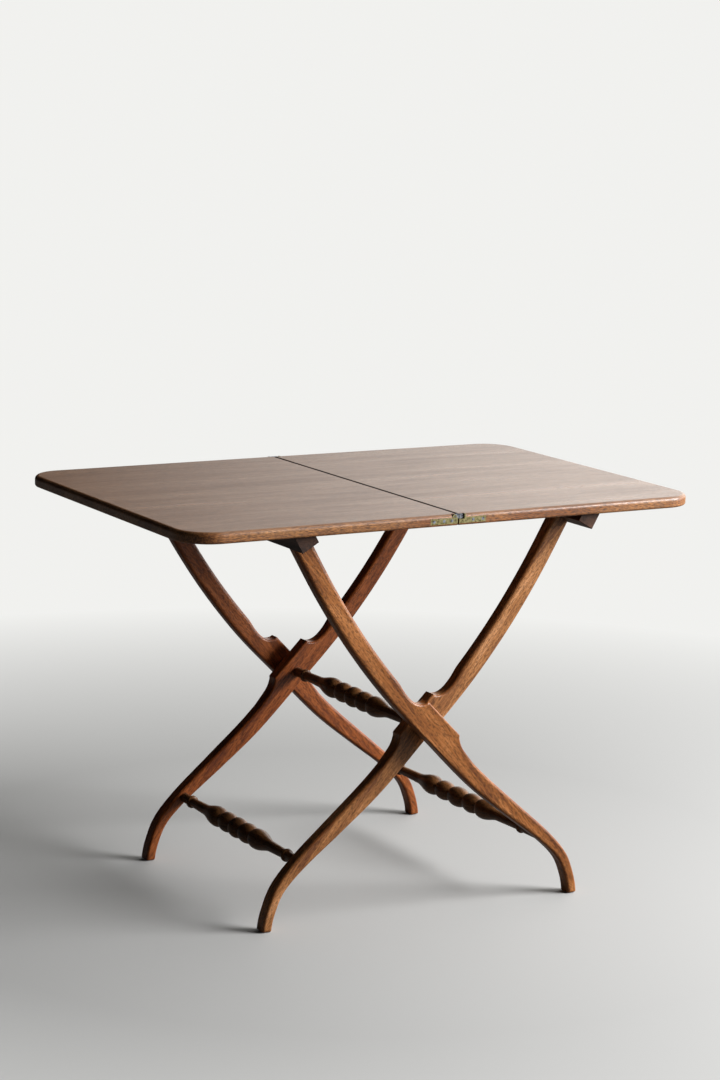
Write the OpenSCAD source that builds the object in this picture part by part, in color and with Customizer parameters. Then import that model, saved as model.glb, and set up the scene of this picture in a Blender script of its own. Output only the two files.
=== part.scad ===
// Folding coaching table: two edge-hinged leaves on a crossed-leg frame.
// X runs along the top, Y across it, Z up. The origin is on the floor below the middle of the seam.

/* [Top] */
// Height of the top surface above the floor
top_h = 700; // [660:1:740]
// Length of the open top
top_l = 985; // [940:1:1060]
// Width of the top
top_w = 634; // [620:1:680]
// Thickness of each leaf
leaf_t = 19; // [17:0.5:22]
// Radius of the outer corners of the top, in plan
corner_r = 60; // [40:1:90]
// Radius of the upper edge moulding
edge_r_top = 7; // [4:0.5:8]
// Radius of the lower edge moulding
edge_r_bottom = 4; // [2:0.5:5]
// Open joint between the two leaves
seam_gap = 3; // [2.6:0.1:4]
// Ease on the arrises of the seam
seam_ease = 0.8; // [0.8:0.1:1.2]

/* [Frame] */
// Thickness of the legs, across the table
leg_t = 25; // [22:0.5:27]
// Width of a leg above the crossing
arm_w = 33; // [31:0.5:36]
// Width of a leg at the floor
foot_w = 17.5; // [15:0.5:20]
// Distance from the seam to the middle of each foot
foot_reach = 291; // [275:1:305]
// Distance from the seam to the middle of each rail, at its underside
rail_reach = 266; // [256:1:276]
// Distance from the middle of the table to the inner face of each outer leg
outer_leg_y = 250; // [240:1:260]
// Space between an outer leg and the inner leg beside it
leg_space = 20; // [16:1:22]
// Length of the rails
rail_l = 600; // [590:1:612]
// Lean of the rails and of the leg tops from upright, in degrees
rail_tilt = 30; // [28:0.5:32]
// Depth of a rail's underside below the leaf, at the middle of the rail
rail_drop = 21; // [20:0.5:25]
// Distance from a leg's centre line to the flat edge of its crossing block
block_edge = 31; // [29.5:0.5:32.5]
// Length of the crossing block above the crossing
block_up = 56; // [52:1:60]
// Length of the crossing block below the crossing
block_down = 35; // [31:1:39]
// Height of the pivot above the crossing of the centre lines
pivot_rise = 5; // [3:0.5:8]

/* [Stretchers] */
// Diameter of the ball in the middle of a stretcher
ball_d = 36.5; // [33:0.5:39]
// Diameter of the beads beside the ball
bead_d = 35.5; // [32:0.5:38]
// Diameter of the two bulbs
bulb_d = 36; // [33:0.5:38.5]
// Diameter of the necks
neck_d = 19; // [17:0.5:20.5]
// Diameter of the ring at each end
ring_d = 23; // [21:0.5:26]
// Width of the ring
ring_w = 7; // [5:0.5:9]
// Diameter of the grooves between the beads
groove_d = 19; // [17:0.5:22]
// Diameter of the lower stretchers' tenons
tenon_d = 12; // [10:0.5:14]
// Distance of the lower stretchers below their knot of the leg's centre line
low_drop = 3; // [0:0.5:5]
// Depth of the lower stretchers' tenons in the legs
tenon_l = 14; // [12:0.5:16]
// Diameter of the pivot journals
journal_d = 15; // [13:0.5:16]
// Depth of the pivot journals in the outer legs
journal_l = 16; // [14:0.5:18]
// Diameter of the distance collars on the pivot
collar_d = 34; // [28:1:38]

/* [Seam hinges] */
// Length of each plate, from the seam to its end
plate_l = 52; // [46:1:60]
// Height of the plates
plate_h = 10; // [9:0.5:10.5]
// Thickness of the plates and of the links
plate_t = 2.5; // [2:0.1:3]
// Height of the plates above the underside of the leaf
plate_rise = 3.5; // [3:0.5:4.5]
// Distance from the seam to each link pin
pin_out = 7.5; // [7:0.1:8.5]
// Depth of the link pins below the top surface
pin_down = 4; // [3.8:0.1:4.2]
// Radius of the links and of the ears round the pins
ear_r = 3.8; // [3.4:0.1:3.8]
// Radius of the link pins
link_pin_r = 1.2; // [1:0.1:1.4]

/* [Underside] */
// Distance from the middle of the table to the middle of each butt hinge
butt_y = 150; // [120:1:180]
// Length of the butt hinges
butt_l = 60; // [50:1:70]
// Reach of the butt hinge plates from their pin
butt_w = 26; // [22:1:27]
// Thickness of the butt hinge plates
butt_t = 2; // [1.6:0.1:2.2]
// Radius of the butt hinge knuckles
knuckle_r = 3.2; // [2.8:0.1:3.4]
// Radius of the butt hinge pins
butt_pin_r = 1.5; // [1.2:0.1:1.7]
// Distance from the middle of the table to the middle of each stop cleat
cleat_y = 130; // [110:1:150]
// Length of the stop cleats
cleat_l = 76; // [60:1:90]
// Width of the stop cleats
cleat_w = 18; // [14:1:24]
// Depth of the stop cleats
cleat_h = 12; // [9:1:14]

/* [Hidden] */
$fn = 64;

// Colours of the pieces
top_wood = [0.66, 0.50, 0.38];
leg_wood = [0.58, 0.33, 0.18];
dark_wood = [0.22, 0.11, 0.07];
brass = [0.72, 0.62, 0.32];
steel = [0.62, 0.63, 0.65];

// Clearances and overruns
cut = 1; // overrun of every cut through a face
seat = 0.2; // gap between a leaf and the rail under it
glue = 0.05; // radial gap in a glued round joint
run = 0.08; // radial gap in a turning joint
play = 0.3; // gap between pieces that pass each other

// The leg's centre line runs from the rail through the crossing to the floor.
// Each knot is a share of the reach, a share of the leg's height and a share of its taper.
arm_shares = [[-1, 1, 1], [-0.797, 0.861, 1], [-0.568, 0.727, 1], [-0.301, 0.597, 1], [0, 0.476, 1]];
foot_shares = [[0.289, 0.348, 0.9], [0.55, 0.252, 0.64], [0.777, 0.171, 0.3],
    [0.914, 0.109, 0.08], [0.976, 0.05, 0], [1, 0, 0]];
foot_tilt = 6; // lean of the leg at the floor
knot_steps = 6; // points of the outline between two knots

leaf_l = (top_l - seam_gap) / 2;
leaf_z = top_h - leaf_t;
leg_h = leaf_z - rail_drop;
taper_w = arm_w - foot_w;
leg_knots = concat(
    [for (s = arm_shares) [s[0] * rail_reach, s[1] * leg_h, foot_w + s[2] * taper_w]],
    [for (s = foot_shares) [s[0] * foot_reach, s[1] * leg_h, foot_w + s[2] * taper_w]]);

// The crossing block stands on the inner side of the centre line, along the line's slope there
crossing = leg_knots[len(arm_shares) - 1];
block_tilt = 45;
// Hollow above the block and cove below it: shares of their length and of the block's edge
hollow_l = 70;
hollow_shares = [[0, 1], [0.09, 0.64], [0.23, 0.45], [0.42, 0.38], [0.68, 0.42], [1, 0.54]];
cove_l = 62;
cove_shares = [[0, 1], [0.12, 0.77], [0.35, 0.6], [0.75, 0.52], [1, 0.48]];
cove_steps = 3; // points of these outlines between two knots

pivot_z = crossing[1] + pivot_rise;
low_knot = leg_knots[len(arm_shares) + 2];
low_z = low_knot[1] - low_drop;
inner_leg_y = outer_leg_y - leg_space - leg_t; // inner face of each inner leg

// Tenon of a leg in its rail
leg_tenon_w = 20;
leg_tenon_t = 12;
leg_tenon_l = 12;

// Frame of a rail: its middle at the underside, with the section's first axis towards the seam
rail_flat_in = arm_w / 2; // half of the rail's underside
rail_top_z = leaf_z - seat;
rail_side_in = (rail_top_z - leg_h - rail_flat_in * sin(rail_tilt)) / cos(rail_tilt);
rail_side_out = (rail_top_z - leg_h + rail_flat_in * sin(rail_tilt)) / cos(rail_tilt);
rail_corner_x = rail_reach + rail_flat_in * cos(rail_tilt) + rail_side_out * sin(rail_tilt);

// Stations of a turned stretcher, as shares of the distance from its middle to the leg's face:
// end of the ball, end of the bead, widest place of the bulb, start of the neck, middle of the ring
short_shares = [0.083, 0.27, 0.355, 0.6, 0.85];
long_shares = [0.098, 0.268, 0.342, 0.54, 0.82];
arc_steps = 8; // chords in a quarter of a bead
neck_end_d = 16; // neck's diameter at the ring
end_d = 17; // stretcher's diameter between the ring and the leg

// Seam hinge details
plate_z = leaf_z + plate_rise;
pin_z = top_h - pin_down;
screw_line_z = plate_z + plate_h / 2;
step_x = pin_out + ear_r + play; // from the seam to the space past the end of the link
// Screws of the seam hinges, as shares of the plate's length from the seam
left_screw_shares = [0.21, 0.5, 0.87];
right_screw_shares = [0.52, 0.89];
left_screw_xs = [for (s = left_screw_shares) seam_gap / 2 + s * plate_l];
right_screw_xs = [for (s = right_screw_shares) seam_gap / 2 + s * plate_l];
edge_screw_r = 2.7;
edge_screw_shank_r = 1.3;
edge_screw_l = 16;
head_cone_l = 1.6;
slot_w = 0.7;
slot_d = 0.5;
link_side_gap = 0.1;

// Butt hinge pin: the same distance from the leaf's underside and from the rail's outer face
knuckle_gap = 0.4;
butt_off = knuckle_r + knuckle_gap;
butt_z = leaf_z - butt_off;
butt_x = -rail_corner_x - (butt_off - (butt_off - seat) * sin(rail_tilt)) / cos(rail_tilt);
knuckle_l = butt_l / 3;
butt_screw_r = 3;
butt_screw_shank_r = 1.5;
butt_screw_l = 13;
butt_screw_y = 21;
butt_screw_in = 9; // distance of the screws from the plate's free edge
cleat_screw_y = 24;
cleat_screw_l = 24;
cleat_x = rail_corner_x + play;
butt_screw_ys = [for (k = [-1:1]) -butt_y + k * butt_screw_y];
cleat_screw_ys = [for (k = [-1, 1]) -cleat_y + k * cleat_screw_y];

// Cubic Hermite curve through a row of points, with the two end directions given
function knot_slope(p, i, d0, d1) =
    i == 0 ? d0 * norm(p[1] - p[0]) :
    i == len(p) - 1 ? d1 * norm(p[i] - p[i - 1]) : (p[i + 1] - p[i - 1]) / 2;
function curve_point(p0, p1, m0, m1, u) =
    (2 * pow(u, 3) - 3 * pow(u, 2) + 1) * p0 + (pow(u, 3) - 2 * pow(u, 2) + u) * m0
    + (3 * pow(u, 2) - 2 * pow(u, 3)) * p1 + (pow(u, 3) - pow(u, 2)) * m1;
function curve(p, d0, d1, steps) = concat(
    [for (i = [0:len(p) - 2], k = [0:steps - 1])
        curve_point(p[i], p[i + 1], knot_slope(p, i, d0, d1), knot_slope(p, i + 1, d0, d1), k / steps)],
    [p[len(p) - 1]]);

// Side points of a ribbon whose half width is carried by each point of its centre line
function across(c, i) =
    let (a = c[max(i - 1, 0)], b = c[min(i + 1, len(c) - 1)], d = [b[0] - a[0], b[1] - a[1]])
    [-d[1], d[0]] / norm(d);
function ribbon_side(c, side) =
    [for (i = [0:len(c) - 1]) [c[i][0], c[i][1]] + side * c[i][2] / 2 * across(c, i)];

// Centre line of a leg, run on straight past the rail's underside and past the floor
top_slope = [sin(rail_tilt), -cos(rail_tilt), 0];
foot_slope = [sin(foot_tilt), -cos(foot_tilt), 0];
function leg_line() =
    let (c = curve(leg_knots, top_slope, foot_slope, knot_steps), e = c[len(c) - 1])
    concat([c[0] - top_slope * arm_w], c, [e + foot_slope * foot_w]);

// Outline of a leg that runs from the left rail to the right foot, in the XZ plane
module ribbon_outline() {
    line = leg_line();
    far = ribbon_side(line, 1);
    near = ribbon_side(line, -1);
    polygon(concat(near, [for (i = [len(far) - 1:-1:0]) far[i]]));
}

// Crossing block with its cove; it runs on past its upper end, where the hollow is cut out of it
module block_outline() {
    knots = [for (s = cove_shares) [block_down + s[0] * cove_l, s[1] * block_edge]];
    cove = curve(knots, [0, -1], [1, 0], cove_steps);
    far_end = -block_up - hollow_l / 2;
    polygon(concat([[far_end, 0], [far_end, block_edge]], cove, [[block_down + cove_l, 0]]));
}

module hollow_outline() {
    knots = [for (s = hollow_shares) [-block_up - s[0] * hollow_l, s[1] * block_edge]];
    hollow = curve(knots, [0, -1], [-1, 0], cove_steps);
    polygon(concat(hollow, [[-block_up - hollow_l, 2 * block_edge], [-block_up, 2 * block_edge]]));
}

module at_crossing() {
    translate([crossing[0], crossing[1]]) rotate(-block_tilt) children();
}

module leg_outline() {
    intersection() {
        difference() {
            union() {
                ribbon_outline();
                at_crossing() block_outline();
            }
            at_crossing() hollow_outline();
            translate([-rail_reach, leg_h]) rotate(rail_tilt) translate([-arm_w, 0])
                square([2 * arm_w, 2 * arm_w]);
        }
        translate([-top_l / 2, 0]) square([top_l, top_h]);
    }
}

// Moves its children to a rail's underside, with X across the rail towards the seam and Z up its sides
module at_left_rail() {
    translate([-rail_reach, 0, leg_h]) rotate([0, -rail_tilt, 0]) children();
}

module bore_y(x, z, y0, y1, r) {
    translate([x, y0, z]) rotate([-90, 0, 0]) cylinder(r = r, h = y1 - y0);
}

// Front leg of the outer pair: its outer face is at the front
module outer_leg() {
    face = -outer_leg_y;
    difference() {
        union() {
            translate([0, face, 0]) rotate([90, 0, 0]) linear_extrude(leg_t) leg_outline();
            leg_tenon(face - leg_t / 2);
        }
        bore_y(0, pivot_z, face - journal_l - play, face + cut, journal_d / 2 + run);
        bore_y(low_knot[0], low_z, face - tenon_l - play, face + cut, tenon_d / 2 + glue);
    }
}

// Front leg of the inner pair: the mirror image, nearer the middle, with its pivot bore right through
module inner_leg() {
    face = -inner_leg_y;
    mirror([1, 0, 0]) difference() {
        union() {
            translate([0, face, 0]) rotate([90, 0, 0]) linear_extrude(leg_t) leg_outline();
            leg_tenon(face - leg_t / 2);
        }
        bore_y(0, pivot_z, face - leg_t - cut, face + cut, journal_d / 2 + glue);
        bore_y(low_knot[0], low_z, face - tenon_l - play, face + cut, tenon_d / 2 + glue);
    }
}

module leg_tenon(y) {
    at_left_rail() translate([-leg_tenon_w / 2, y - leg_tenon_t / 2, -cut])
        cube([leg_tenon_w, leg_tenon_t, leg_tenon_l + cut]);
}

// Rail across the leg tops, planed level under the leaf and mortised for two leg tenons
module rail(tenon_y) {
    difference() {
        at_left_rail() translate([0, rail_l / 2, 0]) rotate([90, 0, 0]) linear_extrude(rail_l)
            polygon([[-rail_flat_in, 0], [rail_flat_in, 0],
                [rail_flat_in, rail_side_in], [-rail_flat_in, rail_side_out]]);
        for (side = [-1, 1])
            at_left_rail() translate([-leg_tenon_w / 2, side * tenon_y - leg_tenon_t / 2, -cut])
                cube([leg_tenon_w, leg_tenon_t, leg_tenon_l + cut + play]);
    }
}

// Angle from the end of a swelling's oval to the point where the oval meets its groove
function groove_angle(d) = asin(groove_d / d);

// Half section of a turned swelling from one groove to the next, as radius and distance
function swelling(y0, y1, d) =
    [for (k = [1:2 * arc_steps]) let (g = groove_angle(d), t = g + (90 - g) * k / arc_steps)
        [d / 2 * sin(t), (y0 + y1) / 2 - (y1 - y0) / 2 * cos(t) / cos(g)]];

// Half section of a bulb: a quarter oval from its groove, then an ogee down to the neck
function bulb(y0, y1, y2) = concat(
    [for (k = [1:arc_steps]) let (g = groove_angle(bulb_d), t = g + (90 - g) * k / arc_steps)
        [bulb_d / 2 * sin(t), y1 - (y1 - y0) * cos(t) / cos(g)]],
    [for (k = [1:2 * arc_steps]) let (t = 90 * k / arc_steps)
        [(neck_d + (bulb_d - neck_d) * (1 + cos(t)) / 2) / 2, y1 + (y2 - y1) * t / 180]]);

// Half section from the middle of a stretcher to its end, past the leg's face
function half_stretcher(face_y, shares, end_r, end_l) =
    let (y = [for (s = shares) s * face_y], ring = [y[4] - ring_w / 2, y[4] + ring_w / 2])
    concat(
        [for (k = [0:arc_steps]) let (g = groove_angle(ball_d), t = (90 - g) * k / arc_steps)
            [ball_d / 2 * cos(t), y[0] * sin(t) / cos(g)]],
        swelling(y[0], y[1], bead_d),
        bulb(y[1], y[2], y[3]),
        [[neck_end_d / 2, ring[0]], [ring_d / 2, ring[0]], [ring_d / 2, ring[1]], [end_d / 2, ring[1]],
            [end_d / 2, face_y], [end_r, face_y], [end_r, face_y + end_l]]);

// One stretcher between two leg faces at distance face_y, with journals or tenons past the faces
module stretcher(face_y, shares, end_r, end_l) {
    half = half_stretcher(face_y, shares, end_r, end_l);
    tip = face_y + end_l;
    rotate([-90, 0, 0]) rotate_extrude() polygon(concat(
        [[0, -tip]],
        [for (i = [len(half) - 1:-1:1]) [half[i][0], -half[i][1]]],
        half,
        [[0, tip]]));
}

module pivot_stretcher() {
    reach = leg_t + leg_space + journal_l;
    color(dark_wood) translate([0, 0, pivot_z])
        stretcher(inner_leg_y, short_shares, journal_d / 2, reach);
}

module inner_stretcher() {
    color(dark_wood) translate([-low_knot[0], 0, low_z])
        stretcher(inner_leg_y, short_shares, tenon_d / 2, tenon_l);
}

module outer_stretcher() {
    color(dark_wood) translate([low_knot[0], 0, low_z])
        stretcher(outer_leg_y, long_shares, tenon_d / 2, tenon_l);
}

// Distance collar between an outer leg and an inner leg, fast on the journal
module pivot_collar() {
    color(dark_wood) translate([0, -outer_leg_y + play, pivot_z]) rotate([-90, 0, 0]) difference() {
        cylinder(d = collar_d, h = leg_space - play);
        translate([0, 0, -cut]) cylinder(r = journal_d / 2 + glue, h = leg_space + 2 * cut);
    }
}

// Section of a leaf's moulded edge, from its inside at zero to its outermost point at depth d
module edge_section(d) {
    square([d - edge_r_top, leaf_t]);
    translate([0, edge_r_bottom]) square([d, leaf_t - edge_r_bottom - edge_r_top]);
    square([d - edge_r_bottom, leaf_t / 2]);
    translate([d - edge_r_top, leaf_t - edge_r_top]) circle(edge_r_top);
    translate([d - edge_r_bottom, edge_r_bottom]) circle(edge_r_bottom);
}

// Right-hand leaf as a plain board with its moulded edges and rounded corners
module leaf_board() {
    inner_x = seam_gap / 2;
    straight_x = leaf_l - corner_r;
    straight_y = top_w - 2 * corner_r;
    translate([inner_x, 0, leaf_z]) difference() {
        union() {
            translate([0, -straight_y / 2, 0]) cube([straight_x + cut, straight_y, leaf_t]);
            for (side = [0, 1]) mirror([0, side, 0]) translate([0, straight_y / 2, 0]) {
                rotate([90, 0, 90]) linear_extrude(straight_x) edge_section(corner_r);
                translate([straight_x, 0, 0]) rotate_extrude(angle = 90) edge_section(corner_r);
            }
            translate([straight_x, straight_y / 2, 0]) rotate([90, 0, 0])
                linear_extrude(straight_y) edge_section(corner_r);
        }
        for (z = [0, leaf_t])
            translate([0, 0, z]) rotate([0, 45, 0])
                cube([seam_ease * sqrt(2), top_w + 2 * cut, seam_ease * sqrt(2)], center = true);
    }
}

// Recesses in the front edge of the right-hand leaf for its hinge plate, its link and their screws
module seam_recess(screw_xs, link_l) {
    face = -top_w / 2;
    translate([0, face - cut, plate_z]) cube([plate_l + seam_gap / 2, plate_t + cut, plate_h]);
    translate([0, face - cut, pin_z - ear_r - play])
        cube([link_l, 3 * plate_t + cut + play, leaf_t]);
    for (x = screw_xs)
        bore_y(x, screw_line_z, face, face + edge_screw_l + play, edge_screw_shank_r + glue);
}

module left_leaf() {
    color(top_wood) difference() {
        mirror([1, 0, 0]) leaf_board();
        for (side = [0, 1]) mirror([0, side, 0]) {
            mirror([1, 0, 0]) seam_recess(left_screw_xs, step_x);
            for (y = butt_screw_ys)
                translate([butt_x - butt_w + butt_screw_in, y, leaf_z - cut])
                    cylinder(r = butt_screw_shank_r + glue, h = butt_screw_l + cut);
        }
    }
}

module right_leaf() {
    color(top_wood) difference() {
        leaf_board();
        for (side = [0, 1]) mirror([0, side, 0]) {
            seam_recess(right_screw_xs, step_x + plate_t + play);
            for (y = cleat_screw_ys)
                translate([cleat_x + cleat_w / 2, y, leaf_z - cut])
                    cylinder(r = butt_screw_shank_r + glue, h = cleat_screw_l - cleat_h + play + cut);
        }
    }
}

module left_rail() {
    color(leg_wood) difference() {
        rail(outer_leg_y + leg_t / 2);
        for (side = [0, 1], y = butt_screw_ys) mirror([0, side, 0])
            at_butt_rail(y) translate([0, 0, -cut])
                cylinder(r = butt_screw_shank_r + glue, h = butt_screw_l + cut);
    }
}

module right_rail() {
    color(leg_wood) mirror([1, 0, 0]) rail(inner_leg_y + leg_t / 2);
}

// Countersunk screw: head flush at z = 0, shank upwards
module screw(head_r, shank_r, length) {
    difference() {
        union() {
            rotate_extrude() polygon([[0, 0], [head_r, 0], [shank_r, head_cone_l], [0, head_cone_l]]);
            cylinder(r = shank_r, h = length);
        }
        translate([-head_r - cut, -slot_w / 2, -cut]) cube([2 * (head_r + cut), slot_w, cut + slot_d]);
    }
}

module screw_sink(head_r, shank_r) {
    translate([0, 0, -cut]) cylinder(r = head_r + glue, h = cut);
    rotate_extrude() polygon([[0, 0], [head_r + glue, 0], [shank_r + glue, head_cone_l], [0, head_cone_l]]);
    cylinder(r = shank_r + glue, h = head_cone_l + plate_t);
}

// Seam hinge plate of the left leaf, at the front: its ear is the outermost layer
module seam_plate_left() {
    face = -top_w / 2;
    color(brass) difference() {
        union() {
            translate([-plate_l - seam_gap / 2, face, plate_z]) cube([plate_l, plate_t, plate_h]);
            bore_y(-pin_out, pin_z, face, face + plate_t, ear_r);
            translate([-pin_out - ear_r, face, plate_z + plate_h - cut])
                cube([2 * ear_r, plate_t, pin_z - plate_z - plate_h + cut]);
        }
        bore_y(-pin_out, pin_z, face - cut, face + plate_t + cut, link_pin_r + glue);
        for (x = left_screw_xs) seam_screw_at(-x) screw_sink(edge_screw_r, edge_screw_shank_r);
    }
}

// Seam hinge plate of the right leaf, at the front: it runs on to the seam below the link,
// steps back beside the end of the link, and its ear is set back behind the link
module seam_plate_right() {
    face = -top_w / 2;
    ear_y = face + 2 * plate_t;
    low_h = pin_z - ear_r - play - plate_z;
    color(brass) difference() {
        union() {
            translate([step_x, face, plate_z]) cube([plate_l + seam_gap / 2 - step_x, plate_t, plate_h]);
            translate([seam_gap / 2, face, plate_z]) cube([step_x, plate_t, low_h]);
            translate([step_x, face, pin_z - ear_r]) cube([plate_t, 3 * plate_t, 2 * ear_r]);
            bore_y(pin_out, pin_z, ear_y, ear_y + plate_t, ear_r);
            translate([pin_out, ear_y, pin_z - ear_r])
                cube([step_x + plate_t - pin_out, plate_t, plate_z + plate_h - pin_z + ear_r]);
        }
        bore_y(pin_out, pin_z, ear_y - cut, ear_y + plate_t + cut, link_pin_r + glue);
        for (x = right_screw_xs) seam_screw_at(x) screw_sink(edge_screw_r, edge_screw_shank_r);
    }
}

module seam_screw_at(x) {
    translate([x, -top_w / 2, screw_line_z]) rotate([-90, 0, 0]) children();
}

// Link between the two leaves, in the layer behind the left ear and before the right one
module seam_link() {
    y0 = -top_w / 2 + plate_t + link_side_gap;
    y1 = -top_w / 2 + 2 * plate_t - link_side_gap;
    color(steel) difference() {
        union() {
            for (x = [-pin_out, pin_out]) bore_y(x, pin_z, y0, y1, ear_r);
            translate([-pin_out, y0, pin_z - ear_r]) cube([2 * pin_out, y1 - y0, 2 * ear_r]);
        }
        for (x = [-pin_out, pin_out]) bore_y(x, pin_z, y0 - cut, y1 + cut, link_pin_r + run);
    }
}

module seam_pins(x, y_in, y_out) {
    for (side = [0, 1]) mirror([0, side, 0])
        bore_y(x, pin_z, -top_w / 2 + y_in, -top_w / 2 + y_out, link_pin_r);
}

module seam_screws(way, xs) {
    for (side = [0, 1], x = xs) mirror([0, side, 0])
        seam_screw_at(way * x) screw(edge_screw_r, edge_screw_shank_r, edge_screw_l);
}

// Moves its children to a screw's place on the rail's outer face, with Z into the rail
module at_butt_rail(y) {
    translate([butt_x, y, butt_z]) rotate([0, -rail_tilt, 0])
        translate([butt_off, 0, -butt_w + butt_screw_in]) rotate([0, 90, 0]) children();
}

module knuckle(k) {
    y0 = -butt_y - butt_l / 2 + k * knuckle_l + play / 2;
    translate([butt_x, y0, butt_z]) rotate([-90, 0, 0]) cylinder(r = knuckle_r, h = knuckle_l - play);
}

module knuckle_relief(k) {
    y0 = -butt_y - butt_l / 2 + k * knuckle_l - play / 2;
    translate([butt_x, y0, butt_z]) rotate([-90, 0, 0]) cylinder(r = knuckle_r + play, h = knuckle_l + play);
}

module butt_bore() {
    bore_y(butt_x, butt_z, -butt_y - butt_l / 2 - cut, -butt_y + butt_l / 2 + cut, butt_pin_r + run);
}

module butt_rail_plate() {
    color(brass) difference() {
        union() {
            difference() {
                translate([butt_x, -butt_y, butt_z]) rotate([0, -rail_tilt, 0])
                    translate([butt_off - butt_t, -butt_l / 2, -butt_w]) cube([butt_t, butt_l, butt_w]);
                for (k = [0, 2]) knuckle_relief(k);
            }
            knuckle(1);
        }
        butt_bore();
        for (y = butt_screw_ys)
            at_butt_rail(y) translate([0, 0, -butt_t]) screw_sink(butt_screw_r, butt_screw_shank_r);
    }
}

module butt_leaf_plate() {
    color(brass) difference() {
        union() {
            difference() {
                translate([butt_x - butt_w, -butt_y - butt_l / 2, leaf_z - butt_t])
                    cube([butt_w, butt_l, butt_t]);
                knuckle_relief(1);
            }
            for (k = [0, 2]) knuckle(k);
        }
        butt_bore();
        for (y = butt_screw_ys)
            translate([butt_x - butt_w + butt_screw_in, y, leaf_z - butt_t])
                screw_sink(butt_screw_r, butt_screw_shank_r);
    }
}

module butt_pin() {
    color(steel) bore_y(butt_x, butt_z, -butt_y - butt_l / 2, -butt_y + butt_l / 2, butt_pin_r);
}

module butt_screws_rail() {
    color(steel) for (side = [0, 1], y = butt_screw_ys) mirror([0, side, 0])
        at_butt_rail(y) translate([0, 0, -butt_t]) screw(butt_screw_r, butt_screw_shank_r, butt_screw_l);
}

module butt_screws_leaf() {
    color(steel) for (side = [0, 1], y = butt_screw_ys) mirror([0, side, 0])
        translate([butt_x - butt_w + butt_screw_in, y, leaf_z - butt_t])
            screw(butt_screw_r, butt_screw_shank_r, butt_screw_l);
}

// Cleat that stops the right rail from sliding outwards under the right leaf
module stop_cleat() {
    color(leg_wood) difference() {
        translate([cleat_x, -cleat_y - cleat_l / 2, leaf_z - cleat_h]) cube([cleat_w, cleat_l, cleat_h]);
        for (y = cleat_screw_ys)
            translate([cleat_x + cleat_w / 2, y, leaf_z - cleat_h]) {
                screw_sink(butt_screw_r, butt_screw_shank_r);
                cylinder(r = butt_screw_shank_r + glue, h = cleat_h + cut);
            }
    }
}

module cleat_screws() {
    color(steel) for (side = [0, 1], y = cleat_screw_ys) mirror([0, side, 0])
        translate([cleat_x + cleat_w / 2, y, leaf_z - cleat_h])
            screw(butt_screw_r, butt_screw_shank_r, cleat_screw_l);
}

module rear() {
    mirror([0, 1, 0]) children();
}

left_leaf();
right_leaf();
left_rail();
right_rail();
color(leg_wood) outer_leg();  // outer_leg_front
color(leg_wood) rear() outer_leg();  // outer_leg_rear
color(leg_wood) inner_leg();  // inner_leg_front
color(leg_wood) rear() inner_leg();  // inner_leg_rear
pivot_stretcher();
inner_stretcher();
outer_stretcher();
pivot_collar();  // pivot_collar_front
rear() pivot_collar();  // pivot_collar_rear
seam_plate_left();  // seam_plate_left_front
rear() seam_plate_left();  // seam_plate_left_rear
seam_plate_right();  // seam_plate_right_front
rear() seam_plate_right();  // seam_plate_right_rear
seam_link();  // seam_link_front
rear() seam_link();  // seam_link_rear
color(steel) seam_pins(-pin_out, 0, 2 * plate_t);  // seam_pins_left
color(steel) seam_pins(pin_out, plate_t, 3 * plate_t);  // seam_pins_right
color(steel) seam_screws(-1, left_screw_xs);  // seam_screws_left
color(steel) seam_screws(1, right_screw_xs);  // seam_screws_right
butt_rail_plate();  // butt_rail_plate_front
rear() butt_rail_plate();  // butt_rail_plate_rear
butt_leaf_plate();  // butt_leaf_plate_front
rear() butt_leaf_plate();  // butt_leaf_plate_rear
butt_pin();  // butt_pin_front
rear() butt_pin();  // butt_pin_rear
butt_screws_rail();
butt_screws_leaf();
stop_cleat();  // stop_cleat_front
rear() stop_cleat();  // stop_cleat_rear
cleat_screws();
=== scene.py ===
import bpy
import bmesh
from math import asin, cos, degrees, pi, radians, sin
from mathutils import Matrix, Vector


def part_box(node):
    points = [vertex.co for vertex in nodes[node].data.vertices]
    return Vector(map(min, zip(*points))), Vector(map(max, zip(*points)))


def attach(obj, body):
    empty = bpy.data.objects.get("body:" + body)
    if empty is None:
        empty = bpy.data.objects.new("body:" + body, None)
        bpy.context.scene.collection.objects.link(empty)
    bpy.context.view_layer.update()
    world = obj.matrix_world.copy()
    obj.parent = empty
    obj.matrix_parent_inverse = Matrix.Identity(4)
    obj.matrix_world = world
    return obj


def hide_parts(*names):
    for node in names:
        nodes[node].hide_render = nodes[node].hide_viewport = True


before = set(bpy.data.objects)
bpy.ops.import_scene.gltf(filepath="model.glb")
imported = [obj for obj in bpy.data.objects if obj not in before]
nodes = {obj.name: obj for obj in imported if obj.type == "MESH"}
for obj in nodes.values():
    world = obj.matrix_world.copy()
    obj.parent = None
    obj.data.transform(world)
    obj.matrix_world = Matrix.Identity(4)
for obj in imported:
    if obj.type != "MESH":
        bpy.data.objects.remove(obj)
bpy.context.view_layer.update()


# The two leaves of the top: solid mahogany boards, about 19 mm thick, hinged at the ends of their seam.
# Each is planed flat, its outer corners are rounded and its edges moulded by hand, and it is waxed.
# The boards keep the shape of their solids and get their wood here.
TOP_DARK = (0.2, 0.085, 0.032, 1)
TOP_MID = (0.27, 0.125, 0.055, 1)
TOP_LIGHT = (0.34, 0.17, 0.08, 1)
TOP_GLOSS = (0.25, 0.35)
TOP_WAX = 0.2
ALONG_X = (0, 0, 0)


def add_node(tree, kind, **settings):
    """A new shader node with its settings."""
    node = tree.nodes.new(kind)
    for name, value in settings.items():
        setattr(node, name, value)
    return node


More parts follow.
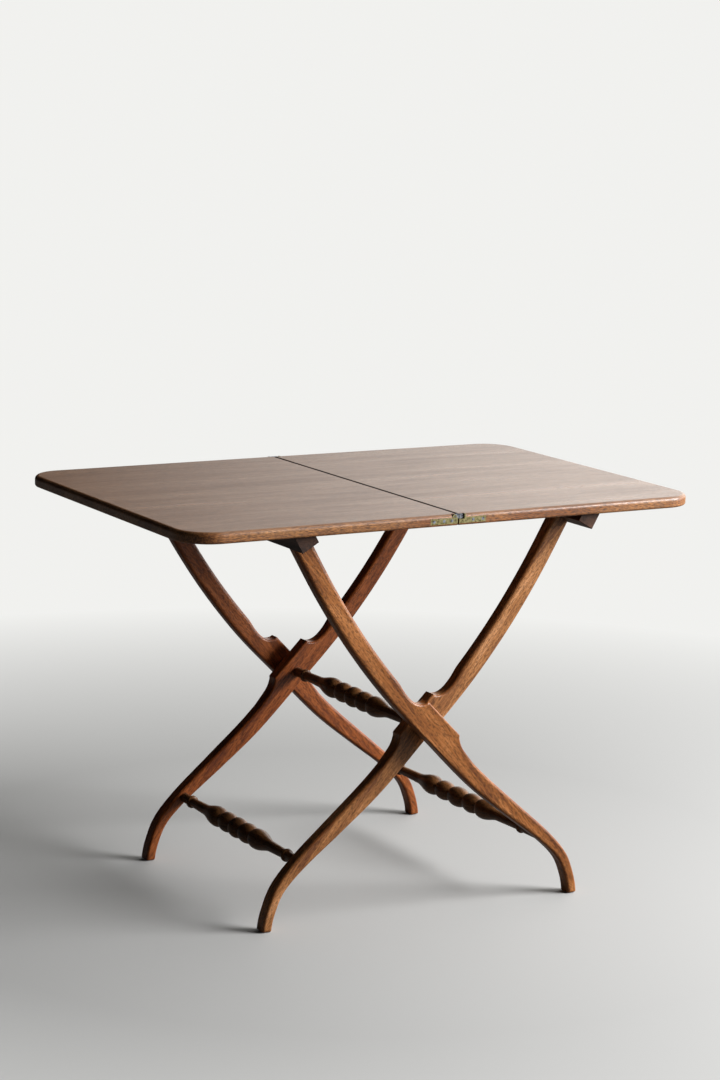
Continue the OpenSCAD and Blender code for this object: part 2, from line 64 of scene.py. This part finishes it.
def feed(tree, source, socket):
    """Links an output to a socket, or sets the socket where the source is a plain number or colour."""
    if hasattr(source, "links"):
        tree.links.new(source, socket)
    else:
        socket.default_value = source


def fed_by(socket):
    """The output that a socket is linked to."""
    return socket.links[0].from_socket


def coordinates(tree, kind):
    """Where a point is (Object) or which way its surface faces (Normal)."""
    return add_node(tree, "ShaderNodeTexCoord").outputs[kind]


def by_axis(tree, vector):
    """The X, Y and Z of a vector."""
    node = add_node(tree, "ShaderNodeSeparateXYZ")
    tree.links.new(vector, node.inputs["Vector"])
    return node.outputs


def calculate(tree, way, *sources):
    """One step of arithmetic on outputs and plain numbers."""
    node = add_node(tree, "ShaderNodeMath", operation=way)
    for source, socket in zip(sources, node.inputs):
        feed(tree, source, socket)
    return node.outputs["Value"]


def product(tree, first, *others):
    """The product of outputs and plain numbers."""
    result = first
    for other in others:
        result = calculate(tree, "MULTIPLY", result, other)
    return result


def span(tree, value, low, high, to_low=0.0, to_high=1.0):
    """Value between low and high spread over to_low and to_high, and held beyond them."""
    node = add_node(tree, "ShaderNodeMapRange", clamp=True)
    limits = {"From Min": low, "From Max": high, "To Min": to_low, "To Max": to_high}
    for name, limit in limits.items():
        node.inputs[name].default_value = limit
    tree.links.new(value, node.inputs["Value"])
    return node.outputs["Result"]


def between(tree, value, low, full_low, full_high, high):
    """One from full_low to full_high, and falling to nothing at low and at high."""
    rising = span(tree, value, low, full_low)
    falling = span(tree, value, full_high, high, 1.0, 0.0)
    return product(tree, rising, falling)


def ramp(tree, value, places, colours):
    """A colour ramp over value, with one colour at each place."""
    node = add_node(tree, "ShaderNodeValToRGB")
    band = node.color_ramp
    while len(band.elements) < len(places):
        band.elements.new(0.5)
    for element, place, colour in zip(band.elements, places, colours):
        element.position = place
        element.color = colour
    tree.links.new(value, node.inputs["Fac"])
    return node.outputs["Color"]


# A mix node keeps its share in socket 0, its numbers in 2 and 3, and its colours in 6 and 7.
def blend_colours(tree, share, first, second, way="MIX"):
    """The first colour where share is 0 and the second where it is 1, or share of their product."""
    node = add_node(tree, "ShaderNodeMix", data_type="RGBA", blend_type=way)
    for place, source in ((0, share), (6, first), (7, second)):
        feed(tree, source, node.inputs[place])
    return node.outputs[2]


def blend_values(tree, share, first, second):
    """The first number where share is 0 and the second where it is 1."""
    node = add_node(tree, "ShaderNodeMix", data_type="FLOAT")
    for place, source in ((0, share), (2, first), (3, second)):
        feed(tree, source, node.inputs[place])
    return node.outputs[0]


def stretched_noise(tree, grain, size, detail, roughness=0.55, distortion=0.0):
    """A noise pattern whose features are size = (along, across) metres long and wide."""
    along, across = size
    scale = add_node(tree, "ShaderNodeMapping")
    scale.inputs["Scale"].default_value = (1 / along, 1 / across, 1 / across)
    tree.links.new(grain, scale.inputs["Vector"])
    noise = add_node(tree, "ShaderNodeTexNoise")
    noise.inputs["Scale"].default_value = 1.0
    noise.inputs["Detail"].default_value = detail
    noise.inputs["Roughness"].default_value = roughness
    noise.inputs["Distortion"].default_value = distortion
    tree.links.new(scale.outputs["Vector"], noise.inputs["Vector"])
    return noise.outputs["Fac"]


def new_material(name):
    """An empty material, its nodes and its shader."""
    material = bpy.data.materials.new(name)
    material.use_nodes = True
    tree = material.node_tree
    return material, tree, tree.nodes["Principled BSDF"]


def add_relief(tree, shader, height, strength, depth):
    """Lets a height pattern stand out from the surface; depth is in metres."""
    bump = add_node(tree, "ShaderNodeBump")
    bump.inputs["Strength"].default_value = strength
    bump.inputs["Distance"].default_value = depth
    tree.links.new(height, bump.inputs["Height"])
    tree.links.new(bump.outputs["Normal"], shader.inputs["Normal"])


# Wood has a broad figure, fine fibres and open pores; the numbers are places in a noise pattern.
FIGURE_SHARE = 0.6
FIBRE_SHARE = 1 - FIGURE_SHARE
GRAIN_STOPS = (0.37, 0.5, 0.63)
PORE_EDGE = (0.38, 0.52)
GLOSS_SPAN = (0.3, 0.7)
GRAIN_RELIEF = (0.25, 0.0003)

# The arrises face halfway between the flat sides and the sawn edges, and are coloured in fine streaks.
ARRIS_FACING = (0.25, 0.6, 0.7, 0.97)
ARRIS_STREAKS = (0.35, 0.6)
ARRIS_SHARE = (0.1, 0.6)


def wood(name, dark, mid, light, turn=ALONG_X, figure=(0.5, 0.05), fibre=(0.12, 0.004),
         pore=(0.012, 0.0011), pore_depth=0.45, gloss=(0.3, 0.42), shine=0.5, coat=0.0,
         coat_roughness=0.12, arris=None):
    """Waxed wood, with its grain along X turned by turn. Figure, fibre and pore are (length, width).

    Gloss is the roughness of the light grain and of the dark; arris is the colour of rounded edges.
    """
    material, tree, shader = new_material(name)
    turned = add_node(tree, "ShaderNodeMapping")
    turned.inputs["Rotation"].default_value = turn
    tree.links.new(coordinates(tree, "Object"), turned.inputs["Vector"])
    grain = turned.outputs["Vector"]
    broad = stretched_noise(tree, grain, figure, detail=3.0, distortion=0.6)
    fine = stretched_noise(tree, grain, fibre, detail=5.0, roughness=0.6)
    threads = product(tree, fine, FIBRE_SHARE)
    pattern = calculate(tree, "ADD", product(tree, broad, FIGURE_SHARE), threads)
    colour = ramp(tree, pattern, GRAIN_STOPS, (dark, mid, light))

    # The pores are darker and lie a little lower than the wood between them.
    solid = span(tree, stretched_noise(tree, grain, pore, detail=1.0), *PORE_EDGE)
    shade = span(tree, solid, 0.0, 1.0, 1 - pore_depth, 1.0)
    grey = add_node(tree, "ShaderNodeCombineColor")
    for channel in ("Red", "Green", "Blue"):
        tree.links.new(shade, grey.inputs[channel])
    colour = blend_colours(tree, 1.0, colour, grey.outputs["Color"], "MULTIPLY")
    add_relief(tree, shader, calculate(tree, "ADD", threads, solid), *GRAIN_RELIEF)

    if arris:
        across = calculate(tree, "ABSOLUTE", by_axis(tree, coordinates(tree, "Normal"))["Y"])
        rounded = between(tree, across, *ARRIS_FACING)
        streaks = span(tree, fine, *ARRIS_STREAKS, *ARRIS_SHARE)
        colour = blend_colours(tree, product(tree, rounded, streaks), colour, arris)

    smoothest, roughest = gloss
    tree.links.new(colour, shader.inputs["Base Color"])
    tree.links.new(span(tree, pattern, *GLOSS_SPAN, roughest, smoothest), shader.inputs["Roughness"])
    shader.inputs["Specular IOR Level"].default_value = shine
    shader.inputs["Coat Weight"].default_value = coat
    shader.inputs["Coat Roughness"].default_value = coat_roughness
    return material


# The moulded edges multiply the wood's colour by a tint in broad patches and by short streaks of wear.
FLAT_FACING = (0.3, 0.97)
EDGE_PATCH = (0.16, 0.05)
EDGE_STOPS = (0.4, 0.6)
EDGE_RICH = (1.0, 0.76, 0.5, 1)
EDGE_WORN = (1.4, 1.3, 1.0, 1)
STREAK = (0.008, 0.0018)
STREAK_STOPS = (0.38, 0.49, 0.62)
STREAK_DIRTY = (0.3, 0.25, 0.22, 1)
STREAK_PLAIN = (1, 1, 1, 1)
STREAK_BARE = (1.75, 1.85, 1.95, 1)
STREAK_SHARE = 0.85
RUBBED_SPAN = (0.4, 0.6)
RUBBED_GLOSS = (0.6, 0.3)


def enrich_edges(material):
    """The moulded edges and the underside are richer in colour than the sun-faded flat.

    They are worn in short streaks.
    """
    tree = material.node_tree
    shader = tree.nodes["Principled BSDF"]
    faded = fed_by(shader.inputs["Base Color"])
    waxed = fed_by(shader.inputs["Roughness"])
    place = coordinates(tree, "Object")
    flat = span(tree, by_axis(tree, coordinates(tree, "Normal"))["Z"], *FLAT_FACING)
    handled = stretched_noise(tree, place, EDGE_PATCH, detail=2.0)
    tint = ramp(tree, handled, EDGE_STOPS, (EDGE_RICH, EDGE_WORN))
    streaks = stretched_noise(tree, place, STREAK, detail=5.0, roughness=0.7)
    worn = ramp(tree, streaks, STREAK_STOPS, (STREAK_DIRTY, STREAK_PLAIN, STREAK_BARE))
    rich = blend_colours(tree, 1.0, faded, tint, "MULTIPLY")
    rich = blend_colours(tree, STREAK_SHARE, rich, worn, "MULTIPLY")
    rubbed = span(tree, streaks, *RUBBED_SPAN, *RUBBED_GLOSS)
    tree.links.new(blend_colours(tree, flat, rich, faded), shader.inputs["Base Color"])
    tree.links.new(blend_values(tree, flat, rubbed, waxed), shader.inputs["Roughness"])


# Painted shade of the narrow gap lies close to the seam, strongest near the top, and fills the hinge
# pockets. X and Y are distances from the middle of the table and Z are heights, between which it grows or
# fades.
TABLE_END, TABLE_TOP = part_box("left_leaf")[1].yz
SEAM_SHADE_BLACK = (0.012, 0.008, 0.006, 1)
SEAM_X = (0.0026, 0.0038)
SEAM_Z = (TABLE_TOP - 0.01, TABLE_TOP - 0.002)
SEAM_BELOW = 0.3
POCKET_X = (0.012, 0.013)
POCKET_Y = [TABLE_END - inward for inward in (0.0085, 0.008, 0.0013, 0.0006)]
POCKET_Z = [TABLE_TOP - down for down in (0.0095, 0.0085, 0.0012, 0.0006)]
SEAM_SHADE_ROUGHNESS = 0.95


def paint_seam_shade(material):
    """Paints black shade on the edges that meet at the seam, strongest near the top, and in the hinge
    pockets.
    """
    tree = material.node_tree
    shader = tree.nodes["Principled BSDF"]
    unshaded = fed_by(shader.inputs["Base Color"])
    waxed = fed_by(shader.inputs["Roughness"])
    wax = shader.inputs["Coat Weight"].default_value
    place = by_axis(tree, coordinates(tree, "Object"))
    from_seam = calculate(tree, "ABSOLUTE", place["X"])
    from_middle = calculate(tree, "ABSOLUTE", place["Y"])
    seam_shade = product(
        tree,
        span(tree, from_seam, *SEAM_X, 1.0, 0.0),
        span(tree, place["Z"], *SEAM_Z, SEAM_BELOW, 1.0),
    )
    pocket_shade = product(
        tree,
        span(tree, from_seam, *POCKET_X, 1.0, 0.0),
        between(tree, from_middle, *POCKET_Y),
        between(tree, place["Z"], *POCKET_Z),
    )
    # The painted shade of the seam gap and of the hinge pockets.
    painted_shade = calculate(tree, "MAXIMUM", seam_shade, pocket_shade)
    tree.links.new(blend_colours(tree, painted_shade, unshaded, SEAM_SHADE_BLACK), shader.inputs["Base Color"])
    tree.links.new(blend_values(tree, painted_shade, waxed, SEAM_SHADE_ROUGHNESS), shader.inputs["Roughness"])
    tree.links.new(span(tree, painted_shade, 0.0, 1.0, wax, 0.0), shader.inputs["Coat Weight"])


def cover(node, material):
    """Gives a solid one material."""
    slots = nodes[node].data.materials
    slots.clear()
    slots.append(material)


top_wood = wood("waxed_top", TOP_DARK, TOP_MID, TOP_LIGHT, gloss=TOP_GLOSS, coat=TOP_WAX)
enrich_edges(top_wood)
# Painted shade in the seam and in the hinge pockets.
paint_seam_shade(top_wood)
for leaf in ("left_leaf", "right_leaf"):
    cover(leaf, top_wood)


# The two rails that the leaves lie on: mahogany bars across the leg tops, mortised for the legs.
# They lean with the legs, and their upper side is planed level under the leaf.
RAIL_DARK = (0.035, 0.014, 0.008, 1)
RAIL_MID = (0.085, 0.036, 0.02, 1)
RAIL_LIGHT = (0.14, 0.065, 0.035, 1)
ALONG_Y = (0, 0, pi / 2)
RAIL_ARRIS = 0.0015
MERGE = 1e-6


def plain_wood(name):
    """The dull, dark wood of the parts that carry the top."""
    return wood(name, RAIL_DARK, RAIL_MID, RAIL_LIGHT, turn=ALONG_Y, gloss=(0.4, 0.55), shine=0.3)


def add_object(name, data):
    """A new object in the scene."""
    thing = bpy.data.objects.new(name, data)
    bpy.context.scene.collection.objects.link(thing)
    return thing


def smooth(piece, sharp=35):
    """Smooth shading with hard edges where faces meet at more than sharp degrees."""
    for face in piece.data.polygons:
        face.use_smooth = True
    piece.data.set_sharp_from_angle(angle=radians(sharp))
    weighted = piece.modifiers.new("even_shading", "WEIGHTED_NORMAL")
    weighted.keep_sharp = True


def finished(name, mesh, material, body, slot, *stands_for):
    """Makes an object of a bmesh and fixes it to its body, in place of its solids."""
    data = bpy.data.meshes.new(name)
    bmesh.ops.recalc_face_normals(mesh, faces=mesh.faces)
    mesh.to_mesh(data)
    mesh.free()
    piece = add_object(name, data)
    data.materials.append(material)
    smooth(piece)
    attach(piece, body)
    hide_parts(*stands_for)
    return piece


def merged_copy(node):
    """A copy of a solid, its loose triangles joined at their corners."""
    mesh = bmesh.new()
    mesh.from_mesh(nodes[node].data)
    bmesh.ops.remove_doubles(mesh, verts=mesh.verts, dist=MERGE)
    return mesh


def eased_solid(node, width, segments=3, sharp=30, flat=1):
    """A copy of a solid, rounded where its faces meet at more than sharp degrees.

    Faces that meet at less than flat degrees become one.
    """
    mesh = merged_copy(node)
    bmesh.ops.dissolve_limit(mesh, angle_limit=radians(flat), verts=mesh.verts, edges=mesh.edges)
    edges = [e for e in mesh.edges if len(e.link_faces) == 2 and e.calc_face_angle(0) > radians(sharp)]
    bmesh.ops.bevel(mesh, geom=edges, affect="EDGES", offset=width, segments=segments, profile=0.5,
                    material=-1, clamp_overlap=True)
    return mesh


rail_wood = plain_wood("rail_wood")
for side, body in (("left", "outer_frame"), ("right", "inner_frame")):
    node = side + "_rail"
    finished("eased_" + node, eased_solid(node, RAIL_ARRIS), rail_wood, body, "leg_wood", node)


# The four legs: each is sawn from one mahogany plank in a long S, with a block left where they cross.
# The arrises are rounded with a spokeshave, most along the arms and least at the block and the feet.
LEG_DARK = (0.17, 0.05, 0.013, 1)
LEG_MID = (0.37, 0.128, 0.031, 1)
LEG_LIGHT = (0.58, 0.23, 0.075, 1)
LEG_ARRIS = (0.3, 0.075, 0.018, 1)
LEG_SLOPE = radians(50)
LEG_FRONT, LEG_BACK = [corner.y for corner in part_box("outer_leg_front")]
LEG_T = LEG_BACK - LEG_FRONT
SAWN_STEP = 0.001
SAME_PLANE = 1e-5
NO_TURN = radians(0.1)
CROSSING = Vector((0, 0, 0.3142))
BLOCK_REACH = (0.05, 0.1)

# The largest radius is on the arms above the crossing, and towards the foot it shrinks to a share.
ROUND = 0.006
LOW_SHARE = 0.7
BLOCK_ROUND = 0.0028
FOOT_ROUND = 0.003
ROUND_SEGMENTS = 5
CORNER_TURN = radians(45)
ON_FLOOR = 1e-4
TENON_REACH = 0.03
TENON_EDGE = 0.02


def leg_blank():
    """The outline of the front outer leg as one flat face, from its solid."""
    mesh = merged_copy("outer_leg_front")
    away = [f for f in mesh.faces if any(abs(v.co.y - LEG_FRONT) > SAME_PLANE for v in f.verts)]
    bmesh.ops.delete(mesh, geom=away, context="FACES")
    bmesh.ops.dissolve_limit(mesh, angle_limit=NO_TURN, verts=mesh.verts, edges=mesh.edges)
    bmesh.ops.remove_doubles(mesh, verts=mesh.verts, dist=SAWN_STEP)
    return mesh


def rounding(place):
    """Radius of the arris at a place along a leg."""
    near, far = BLOCK_REACH
    share = min(max(((place - CROSSING).length - near) / (far - near), 0), 1)
    # The radius starts and stops growing gently.
    share = share * share * (3 - 2 * share)
    full = ROUND * (LOW_SHARE + (1 - LOW_SHARE) * min(place.z / CROSSING.z, 1))
    return BLOCK_ROUND + share * (full - BLOCK_ROUND)


def edge_radius(edge, top):
    """Radius on one edge of a sawn leg: small at the foot, and none on the tenon or across an arm."""
    start, end = [v.co for v in edge.verts]
    middle = (start + end) / 2
    along = rounding(Vector((middle.x, 0, middle.z)))
    if abs(start.y - end.y) > LEG_T / 2:
        foot_corner = edge.calc_face_angle(0) > CORNER_TURN and middle.z < top / 2
        return min(along, FOOT_ROUND) if foot_corner else 0
    if middle.z > top - TENON_REACH and edge.calc_length() > TENON_EDGE:
        return 0
    return FOOT_ROUND if middle.z < ON_FLOOR else along


def leg(node, mirrored, material, body):
    """A leg where its solid is; the blank is mirrored for the inner pair."""
    mesh = leg_blank()
    made = bmesh.ops.extrude_face_region(mesh, geom=mesh.faces[:])
    back = [v for v in made["geom"] if isinstance(v, bmesh.types.BMVert)]
    bmesh.ops.translate(mesh, vec=(0, LEG_T, 0), verts=back)
    bmesh.ops.translate(mesh, vec=(0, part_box(node)[0].y - LEG_FRONT, 0), verts=mesh.verts)
    if mirrored:
        bmesh.ops.scale(mesh, vec=(-1, 1, 1), verts=mesh.verts)
    bmesh.ops.recalc_face_normals(mesh, faces=mesh.faces)
    weight = mesh.edges.layers.float.new("bevel_weight_edge")
    top = max(v.co.z for v in mesh.verts)
    for edge in mesh.edges:
        edge[weight] = edge_radius(edge, top) / ROUND
    piece = finished("shaped_" + node, mesh, material, body, "leg_wood", node)
    eased = piece.modifiers.new("arrises", "BEVEL")
    eased.limit_method = "WEIGHT"
    eased.width = ROUND
    eased.segments = ROUND_SEGMENTS
    eased.use_clamp_overlap = False
    piece.modifiers.move(1, 0)


# Each leg's colours are multiplied in red, green and blue by painted light and shade: the rear legs are
# darker and redder as painted shade under the top, and the inner front leg is paler and greyer as a painted
# sheen.
LEG_LIGHT_AND_SHADE = {
    "outer_leg_front": (1.0, 1.0, 1.0),
    "outer_leg_rear": (0.95, 0.75, 0.7),
    "inner_leg_front": (1.2, 1.45, 2.0),
    "inner_leg_rear": (0.85, 0.65, 0.6),
}
for node, light_and_shade in LEG_LIGHT_AND_SHADE.items():
    inner = node.startswith("inner")
    slope = -LEG_SLOPE if inner else LEG_SLOPE
    # The leg's colours with its painted light and shade.
    lit_and_shaded = [
        [amount * part for amount, part in zip(colour, (*light_and_shade, 1))]
        for colour in (LEG_DARK, LEG_MID, LEG_LIGHT)
    ]
    leg_wood = wood("lit_and_shaded_wood_of_" + node, *lit_and_shaded, turn=(0, -slope, 0), figure=(0.14, 0.02),
                    fibre=(0.06, 0.003), pore=(0.0065, 0.0014), pore_depth=0.5, shine=0.35,
                    coat=0.1, coat_roughness=0.18, arris=LEG_ARRIS)
    leg(node, inner, leg_wood, "inner_frame" if inner else "outer_frame")


# The three stretchers: beech or mahogany, turned on a lathe, stained dark and polished. Each has a
# ball between two beads, a bulb at each side, a long neck and a ring before the leg, and its ends go
# into the legs. The pivot stretcher turns in the outer legs, with a distance collar at each end.
TURNED_DARK = (0.07, 0.028, 0.01, 1)
TURNED_MID = (0.15, 0.062, 0.021, 1)
TURNED_LIGHT = (0.25, 0.108, 0.037, 1)

# Diameters, except for the width of the ring and of the step at each side of it, the share of the
# ring's height that rises straight, and the radii of the ends inside the legs.
BALL, BEAD, BULB, NECK, RING, GROOVE = 0.0365, 0.0355, 0.036, 0.019, 0.023, 0.019
NECK_END, END = 0.016, 0.017
RING_W, RING_STEP = 0.007, 0.001
RING_SQUARE = 0.35
JOURNAL_R, TENON_R = 0.0075, 0.006

# Where ball, bead, bulb, neck and ring lie, as shares of the way from the middle to the leg.
SHORT_SHARES = (0.083, 0.27, 0.355, 0.6, 0.85)
LONG_SHARES = (0.098, 0.268, 0.342, 0.54, 0.82)
QUARTER_STEPS = 12
SPIN_STEPS = 64
SMALL_ARRIS = 0.001

turned_wood = wood("turned_wood", TURNED_DARK, TURNED_MID, TURNED_LIGHT, turn=ALONG_Y,
                   figure=(0.12, 0.02), fibre=(0.05, 0.003), shine=0.15, coat=0.3,
                   coat_roughness=0.06)


def arc(start, end):
    """Angles in radians from start to end degrees, in even steps."""
    count = round(QUARTER_STEPS * abs(end - start) / 90)
    return [radians(start + (end - start) * k / count) for k in range(count + 1)]


def groove(diameter):
    """Angle from the end of a swelling's oval to the point where it meets its groove."""
    return asin(GROOVE / diameter)


def turned_half(face_y, shares, end_r, tip):
    """Radius and distance from the middle, from the ball to the end inside the leg."""
    ball, bead, bulb, neck, ring = [face_y * share for share in shares]
    ball_groove, bead_groove, bulb_groove = groove(BALL), groove(BEAD), groove(BULB)
    line = [(BALL / 2 * sin(t), ball * cos(t) / cos(ball_groove)) for t in arc(90, degrees(ball_groove))]
    half_bead = (bead - ball) / 2
    line += [(BEAD / 2 * sin(t), (ball + bead) / 2 - half_bead * cos(t) / cos(bead_groove))
             for t in arc(degrees(bead_groove), 180 - degrees(bead_groove))[1:]]
    line += [(BULB / 2 * sin(t), bulb - (bulb - bead) * cos(t) / cos(bulb_groove))
             for t in arc(degrees(bulb_groove), 90)[1:]]
    line += [((NECK + (BULB - NECK) * (1 + cos(t)) / 2) / 2, bulb + (neck - bulb) * t / pi)
             for t in arc(0, 180)[1:]]
    crown = (RING - NECK_END) / 2
    line += [(NECK_END / 2, ring - RING_W / 2 - RING_STEP)]
    line += [(NECK_END / 2 + crown * (RING_SQUARE + (1 - RING_SQUARE) * sin(t)), ring - RING_W / 2 * cos(t))
             for t in arc(0, 180)]
    line += [(END / 2, ring + RING_W / 2 + RING_STEP), (END / 2, face_y), (end_r, face_y), (end_r, tip)]
    return line


def stretcher(node, rear_leg, shares, end_r, body):
    """A turned stretcher where its solid is, up to the inner face of its legs and into them."""
    low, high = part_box(node)
    x, _, z = (low + high) / 2
    half = turned_half(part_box(rear_leg)[0].y, shares, end_r, high.y)
    line = [(0, -high.y)] + [(r, -y) for r, y in half[:0:-1]] + half + [(0, high.y)]
    mesh = bmesh.new()
    verts = [mesh.verts.new((x + r, y, z)) for r, y in line]
    edges = [mesh.edges.new(pair) for pair in zip(verts, verts[1:])]
    bmesh.ops.spin(mesh, geom=verts + edges, cent=(x, 0, z), axis=(0, 1, 0), angle=2 * pi,
                   steps=SPIN_STEPS, use_merge=True)
    bmesh.ops.remove_doubles(mesh, verts=mesh.verts, dist=MERGE)
    finished("turned_" + node, mesh, turned_wood, body, "turned_wood", node)


stretcher("pivot_stretcher", "inner_leg_rear", SHORT_SHARES, JOURNAL_R, "inner_frame")
stretcher("inner_stretcher", "inner_leg_rear", SHORT_SHARES, TENON_R, "inner_frame")
stretcher("outer_stretcher", "outer_leg_rear", LONG_SHARES, TENON_R, "outer_frame")
for collar in ("pivot_collar_front", "pivot_collar_rear"):
    mesh = eased_solid(collar, SMALL_ARRIS)
    finished("eased_" + collar, mesh, turned_wood, "inner_frame", "turned_wood", collar)


# The hinges and screws. At each end of the seam, brass plates let into the edges and screwed on are
# joined by a steel link on two pins, so that one leaf folds over the other. Brass butt hinges on steel
# pins join the left leaf to its rail. All of them keep the shape of their solids.
BRASS_DARK = (0.08, 0.07, 0.035, 1)
BRASS_MID = (0.33, 0.29, 0.13, 1)
BRASS_BRIGHT = (0.6, 0.54, 0.3, 1)
STEEL_DARK = (0.05, 0.05, 0.055, 1)
STEEL_MID = (0.24, 0.26, 0.3, 1)
STEEL_BRIGHT = (0.6, 0.63, 0.7, 1)
BRASS_NODES = ("seam_plate", "butt_rail_plate", "butt_leaf_plate")
STEEL_NODES = ("seam_link", "seam_pins", "seam_screws", "butt_pin", "butt_screws", "cleat_screws")
TARNISH_STOPS = (0.35, 0.5, 0.68)
SCRATCH_RELIEF = (0.3, 0.0001)


def metal(name, dark, mid, bright, patch=(0.0035, 0.0035), scratch=(0.02, 0.0006), gloss=(0.3, 0.55)):
    """Old metal with blotchy tarnish and fine scratches; patch and scratch are (length, width)."""
    material, tree, shader = new_material(name)
    place = coordinates(tree, "Object")
    blotch = stretched_noise(tree, place, patch, detail=4.0, roughness=0.65)
    scratches = stretched_noise(tree, place, scratch, detail=2.0)
    smoothest, roughest = gloss
    colour = ramp(tree, blotch, TARNISH_STOPS, (dark, mid, bright))
    tree.links.new(colour, shader.inputs["Base Color"])
    tree.links.new(span(tree, blotch, *GLOSS_SPAN, roughest, smoothest), shader.inputs["Roughness"])
    shader.inputs["Metallic"].default_value = 1.0
    add_relief(tree, shader, scratches, *SCRATCH_RELIEF)
    return material


brass = metal("aged_brass", BRASS_DARK, BRASS_MID, BRASS_BRIGHT)
steel = metal("worn_steel", STEEL_DARK, STEEL_MID, STEEL_BRIGHT)
for node in nodes:
    if node.startswith(BRASS_NODES):
        cover(node, brass)
    elif node.startswith(STEEL_NODES):
        cover(node, steel)


# The two stop cleats: short mahogany blocks under the right leaf, just outside its rail.
# They are screwed on from below, and keep the leaf from sliding.
cleat_wood = plain_wood("cleat_wood")
for cleat in ("stop_cleat_front", "stop_cleat_rear"):
    mesh = eased_solid(cleat, SMALL_ARRIS)
    finished("eased_" + cleat, mesh, cleat_wood, "right_top", "leg_wood", cleat)


# The studio: a plain pale floor that fades into the background, and a lamp as large as a window,
# in front on the right. The sky is light on that side and nearly dark on the left.
FLOOR_COLOUR = (0.5, 0.5, 0.495, 1)
FLOOR_BOUNCE = (0.09, 0.086, 0.082, 1)
FLOOR_ROUGHNESS = 0.85
FLOOR_SIZE = 30
WALL_COLOUR = (0.88, 0.88, 0.86, 1)
ROOM_IN_POLISH = 0.07
FADE = (0.8, 2.2)
SHADE_SIDE = 0.01
WINDOW_SIDE = 2.35
WINDOW_EDGE = (0.38, 0.66)
WINDOW_PLACE = Vector((2.3, -1.7, 1.8))
WINDOW_AIM = Vector((0, 0, 0.4))
WINDOW_SIZE = 1.5
WINDOW_POWER = 150


def mix_shaders(tree, share, first, second, target):
    """Feeds target with the first shader where share is 0 and the second where it is 1."""
    node = add_node(tree, "ShaderNodeMixShader")
    for source, socket in zip((share, first, second), node.inputs):
        tree.links.new(source, socket)
    tree.links.new(node.outputs["Shader"], target.inputs["Surface"])


floor_mesh = bmesh.new()
bmesh.ops.create_grid(floor_mesh, x_segments=1, y_segments=1, size=FLOOR_SIZE / 2)
floor_data = bpy.data.meshes.new("floor")
floor_mesh.to_mesh(floor_data)
floor_mesh.free()
floor = add_object("floor", floor_data)

# Seen directly the floor is pale, seen in polish only a little, and the light it throws back is weak.
floor_paint, ground, floor_shader = new_material("pale_floor")
floor_shader.inputs["Roughness"].default_value = FLOOR_ROUGHNESS
rays = add_node(ground, "ShaderNodeLightPath").outputs
in_polish = product(ground, rays["Is Glossy Ray"], ROOM_IN_POLISH)
seen = calculate(ground, "MAXIMUM", rays["Is Camera Ray"], in_polish)
seen_floor = blend_colours(ground, seen, FLOOR_BOUNCE, FLOOR_COLOUR)
ground.links.new(seen_floor, floor_shader.inputs["Base Color"])

# Away from the table it turns into the colour of the wall, without light or shade on it.
distance = add_node(ground, "ShaderNodeVectorMath", operation="LENGTH")
ground.links.new(coordinates(ground, "Object"), distance.inputs[0])
faded = product(ground, span(ground, distance.outputs["Value"], *FADE), seen)
haze = add_node(ground, "ShaderNodeEmission")
haze.inputs["Color"].default_value = WALL_COLOUR
mix_shaders(ground, faded, floor_shader.outputs["BSDF"], haze.outputs["Emission"],
            ground.nodes["Material Output"])
floor_data.materials.append(floor_paint)

# The camera sees a plain wall, and the table is lit by a sky that brightens towards the window.
world = bpy.data.worlds.new("studio")
bpy.context.scene.world = world
world.use_nodes = True
sky = world.node_tree
heading = by_axis(sky, coordinates(sky, "Generated"))["X"]
towards_window = span(sky, heading, *WINDOW_EDGE, SHADE_SIDE, WINDOW_SIDE)
light_sky = sky.nodes["Background"]
light_sky.inputs["Color"].default_value = WALL_COLOUR
sky.links.new(towards_window, light_sky.inputs["Strength"])
seen_sky = add_node(sky, "ShaderNodeBackground")
seen_sky.inputs["Color"].default_value = WALL_COLOUR
direct = add_node(sky, "ShaderNodeLightPath").outputs["Is Camera Ray"]
mix_shaders(sky, direct, light_sky.outputs["Background"], seen_sky.outputs["Background"],
            sky.nodes["World Output"])

window_light = bpy.data.lights.new("window", "AREA")
window_light.shape = "SQUARE"
window_light.size = WINDOW_SIZE
window_light.energy = WINDOW_POWER
window = add_object("window", window_light)
window.location = WINDOW_PLACE
window.rotation_mode = "QUATERNION"
window.rotation_quaternion = (WINDOW_AIM - WINDOW_PLACE).to_track_quat("-Z", "Y")


# The camera stands where the photograph was taken, in front of the table and to its left.
# It looks down a little, and is very slightly tilted.
CAMERA_PLACE = Vector((-2.3748, -3.9958, 1.4853))
YAW, PITCH, ROLL = radians(30.75), radians(10.78), radians(1.64)
LENS = 90.78

ahead = Vector((sin(YAW) * cos(PITCH), cos(YAW) * cos(PITCH), -sin(PITCH)))
level = Vector((cos(YAW), -sin(YAW), 0))
upright = level.cross(ahead)
right = level * cos(ROLL) + upright * sin(ROLL)
up = upright * cos(ROLL) - level * sin(ROLL)
camera_data = bpy.data.cameras.new("camera")
camera_data.lens = LENS
camera = add_object("camera", camera_data)
camera.matrix_world = Matrix.Translation(CAMERA_PLACE) @ Matrix((right, up, -ahead)).transposed().to_4x4()
bpy.context.scene.camera = camera
bpy.context.scene.view_settings.view_transform = "Standard"
